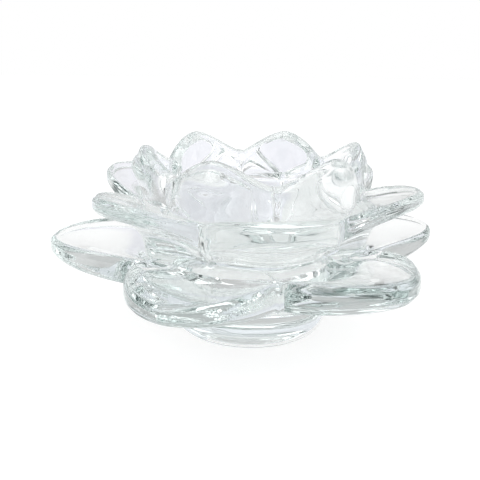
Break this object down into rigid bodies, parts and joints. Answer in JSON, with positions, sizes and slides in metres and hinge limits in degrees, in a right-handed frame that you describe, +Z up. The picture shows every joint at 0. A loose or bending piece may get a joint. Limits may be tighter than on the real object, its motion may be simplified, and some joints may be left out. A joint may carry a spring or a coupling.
{
  "type": "candle holder",
  "caption": "Clear glass lotus tea light holder: tiers of thick dished petals bonded round a candle cup on a flared round foot, with a well for the light inside the crown.",
  "frame": {"origin": "centre of the foot's ground ring, on the surface the holder stands on", "axes": "+Z up along the axis of the flower; a joint between two lower petals lies on -Y, the side nearest the viewer in the picture"},
  "size_m": [0.151, 0.1348, 0.0697],
  "materials": {
    "foot_glass": "clear, slightly green, fire-polished",
    "cup_glass": "clear, polished",
    "lower_petal_glass": "clear, slightly green, fire-polished with fine seed bubbles",
    "middle_petal_glass": "clear, fire-polished",
    "upper_petal_glass": "clear, fire-polished"
  },
  "bodies": {
    "root": {"foot": "foot_glass", "candle_cup": "cup_glass", "lower_petal_1": "lower_petal_glass", "lower_petal_2": "lower_petal_glass", "lower_petal_3": "lower_petal_glass", "lower_petal_4": "lower_petal_glass", "lower_petal_5": "lower_petal_glass", "lower_petal_6": "lower_petal_glass", "middle_petal_1": "middle_petal_glass", "middle_petal_2": "middle_petal_glass", "middle_petal_3": "middle_petal_glass", "middle_petal_4": "middle_petal_glass", "middle_petal_5": "middle_petal_glass", "middle_petal_6": "middle_petal_glass", "upper_petal_1": "upper_petal_glass", "upper_petal_2": "upper_petal_glass", "upper_petal_3": "upper_petal_glass", "upper_petal_4": "upper_petal_glass", "upper_petal_5": "upper_petal_glass", "upper_petal_6": "upper_petal_glass"}
  },
  "joints": []
}
